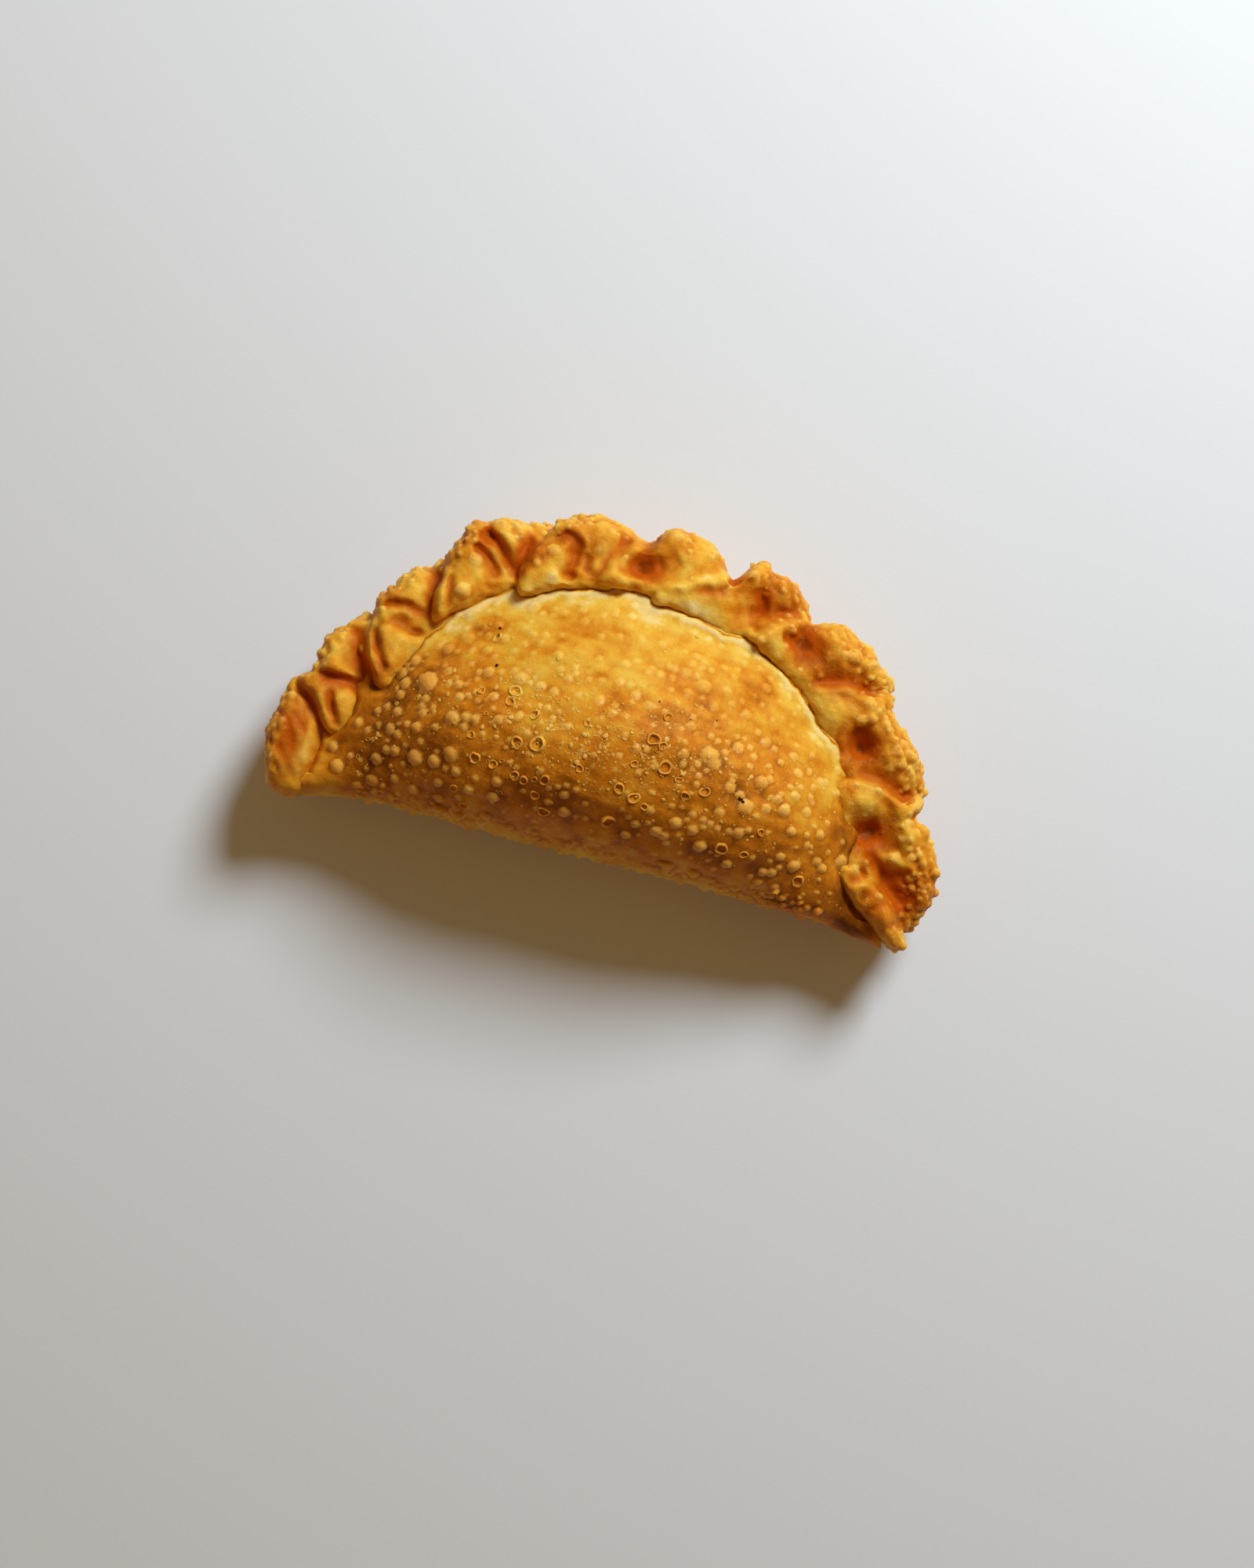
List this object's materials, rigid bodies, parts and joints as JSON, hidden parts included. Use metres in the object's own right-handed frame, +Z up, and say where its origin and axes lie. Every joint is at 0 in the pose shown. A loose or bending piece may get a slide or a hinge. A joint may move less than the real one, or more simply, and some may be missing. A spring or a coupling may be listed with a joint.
{
  "type": "empanada",
  "caption": "Fried half-moon turnover: a plump sealed pastry pocket lying on its side, its round edge closed by a rope of slanted folded pleats.",
  "frame": {"origin": "centre of the bounding box's footprint, on the surface that the turnover lies on", "axes": "+X along the straight folded edge, +Y from the folded edge towards the rope-edged rim, +Z up out of the flat spot it rests on"},
  "size_m": [0.1298, 0.0678, 0.0375],
  "materials": {
    "crust": "fried pastry, golden to reddish brown, with a little oil and many small pale blisters"
  },
  "bodies": {
    "root": {"empanada": "crust"}
  },
  "joints": []
}
